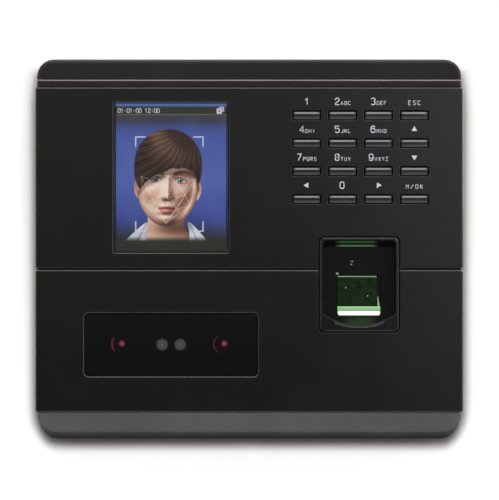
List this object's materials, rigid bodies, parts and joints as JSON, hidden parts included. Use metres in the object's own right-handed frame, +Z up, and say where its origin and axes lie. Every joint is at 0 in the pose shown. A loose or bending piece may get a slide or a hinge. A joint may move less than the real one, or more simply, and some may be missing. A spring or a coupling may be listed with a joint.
{
  "type": "fingerprint scanner terminal",
  "caption": "Wall-hung fingerprint and face terminal: portrait display, keypad, recessed finger sensor bay, camera window, moulded case and a hooked steel wall plate.",
  "frame": {"origin": "middle of the wall plate's back face, on the wall", "axes": "+Z up, -Y out of the wall towards the user, +X to the right as the user sees the front"},
  "size_m": [0.1676, 0.0337, 0.1488],
  "materials": {
    "case_plastic": "fine-grained black",
    "panel_gloss": "polished black",
    "trim_strip": "pearl grey",
    "chin_plastic": "satin dark grey",
    "bezel_gloss": "semi-gloss black",
    "clear_lens": "clear",
    "screen": "lit display",
    "silicone": "matte",
    "circuit_board": "solder mask",
    "prism_glass": "polished, lit green",
    "light_bar": "translucent, lit",
    "smoked_window": "smoked",
    "camera_optics": "coated",
    "lamp_resin": "clear resin",
    "key_plastic": "satin",
    "connector_plastic": "moulded",
    "terminal_plastic": "moulded green",
    "plated_steel": "plated",
    "zinc_steel": "zinc plated",
    "screw_steel": "plated",
    "speaker_paper": "doped paper"
  },
  "bodies": {
    "terminal": {"front_housing": "case_plastic", "top_cap": "case_plastic", "rear_housing": "case_plastic", "top_trim": "trim_strip", "chin_trim": "chin_plastic", "upper_panel": "panel_gloss", "lower_panel": "panel_gloss", "display_lens": "clear_lens", "display_module": "screen", "keypad_mat": "silicone", "keypad_board": "circuit_board", "finger_bezel": "bezel_gloss", "sensor_prism": "prism_glass", "sensor_light_bar": "light_bar", "sensor_module": "connector_plastic", "camera_window": "smoked_window", "camera_left": "camera_optics", "camera_right": "camera_optics", "lamp_left": "lamp_resin", "lamp_right": "lamp_resin", "camera_board": "circuit_board", "main_board": "circuit_board", "network_jack": "plated_steel", "power_jack": "connector_plastic", "door_terminal": "terminal_plastic", "bus_terminal": "terminal_plastic", "cell_holder": "connector_plastic", "clock_cell": "plated_steel", "tamper_switch": "connector_plastic", "port_board": "circuit_board", "usb_socket": "plated_steel", "wall_plate": "zinc_steel", "locking_screw": "screw_steel", "loudspeaker": "speaker_paper", "case_screw_1": "screw_steel", "case_screw_2": "screw_steel", "case_screw_3": "screw_steel", "case_screw_4": "screw_steel"},
    "key_1": {"key_1": "key_plastic"},
    "key_2": {"key_2": "key_plastic"},
    "key_3": {"key_3": "key_plastic"},
    "key_escape": {"key_escape": "key_plastic"},
    "key_4": {"key_4": "key_plastic"},
    "key_5": {"key_5": "key_plastic"},
    "key_6": {"key_6": "key_plastic"},
    "key_up": {"key_up": "key_plastic"},
    "key_7": {"key_7": "key_plastic"},
    "key_8": {"key_8": "key_plastic"},
    "key_9": {"key_9": "key_plastic"},
    "key_down": {"key_down": "key_plastic"},
    "key_left": {"key_left": "key_plastic"},
    "key_0": {"key_0": "key_plastic"},
    "key_right": {"key_right": "key_plastic"},
    "key_ok": {"key_ok": "key_plastic"},
    "tamper_plunger": {"tamper_plunger": "connector_plastic"}
  },
  "joints": [
    {"name": "key_1_press", "type": "slide", "parent": "terminal", "child": "key_1", "axis": [0, 1, 0], "range_m": [0, 0.0012], "stiffness_N_per_m": 400, "springref_m": -0.0005},
    {"name": "key_2_press", "type": "slide", "parent": "terminal", "child": "key_2", "axis": [0, 1, 0], "range_m": [0, 0.0012], "stiffness_N_per_m": 400, "springref_m": -0.0005},
    {"name": "key_3_press", "type": "slide", "parent": "terminal", "child": "key_3", "axis": [0, 1, 0], "range_m": [0, 0.0012], "stiffness_N_per_m": 400, "springref_m": -0.0005},
    {"name": "key_escape_press", "type": "slide", "parent": "terminal", "child": "key_escape", "axis": [0, 1, 0], "range_m": [0, 0.0012], "stiffness_N_per_m": 400, "springref_m": -0.0005},
    {"name": "key_4_press", "type": "slide", "parent": "terminal", "child": "key_4", "axis": [0, 1, 0], "range_m": [0, 0.0012], "stiffness_N_per_m": 400, "springref_m": -0.0005},
    {"name": "key_5_press", "type": "slide", "parent": "terminal", "child": "key_5", "axis": [0, 1, 0], "range_m": [0, 0.0012], "stiffness_N_per_m": 400, "springref_m": -0.0005},
    {"name": "key_6_press", "type": "slide", "parent": "terminal", "child": "key_6", "axis": [0, 1, 0], "range_m": [0, 0.0012], "stiffness_N_per_m": 400, "springref_m": -0.0005},
    {"name": "key_up_press", "type": "slide", "parent": "terminal", "child": "key_up", "axis": [0, 1, 0], "range_m": [0, 0.0012], "stiffness_N_per_m": 400, "springref_m": -0.0005},
    {"name": "key_7_press", "type": "slide", "parent": "terminal", "child": "key_7", "axis": [0, 1, 0], "range_m": [0, 0.0012], "stiffness_N_per_m": 400, "springref_m": -0.0005},
    {"name": "key_8_press", "type": "slide", "parent": "terminal", "child": "key_8", "axis": [0, 1, 0], "range_m": [0, 0.0012], "stiffness_N_per_m": 400, "springref_m": -0.0005},
    {"name": "key_9_press", "type": "slide", "parent": "terminal", "child": "key_9", "axis": [0, 1, 0], "range_m": [0, 0.0012], "stiffness_N_per_m": 400, "springref_m": -0.0005},
    {"name": "key_down_press", "type": "slide", "parent": "terminal", "child": "key_down", "axis": [0, 1, 0], "range_m": [0, 0.0012], "stiffness_N_per_m": 400, "springref_m": -0.0005},
    {"name": "key_left_press", "type": "slide", "parent": "terminal", "child": "key_left", "axis": [0, 1, 0], "range_m": [0, 0.0012], "stiffness_N_per_m": 400, "springref_m": -0.0005},
    {"name": "key_0_press", "type": "slide", "parent": "terminal", "child": "key_0", "axis": [0, 1, 0], "range_m": [0, 0.0012], "stiffness_N_per_m": 400, "springref_m": -0.0005},
    {"name": "key_right_press", "type": "slide", "parent": "terminal", "child": "key_right", "axis": [0, 1, 0], "range_m": [0, 0.0012], "stiffness_N_per_m": 400, "springref_m": -0.0005},
    {"name": "key_ok_press", "type": "slide", "parent": "terminal", "child": "key_ok", "axis": [0, 1, 0], "range_m": [0, 0.0012], "stiffness_N_per_m": 400, "springref_m": -0.0005},
    {"name": "tamper_press", "type": "slide", "parent": "terminal", "child": "tamper_plunger", "axis": [0, -1, 0], "range_m": [0, 0.0018], "stiffness_N_per_m": 200, "springref_m": -0.001}
  ]
}
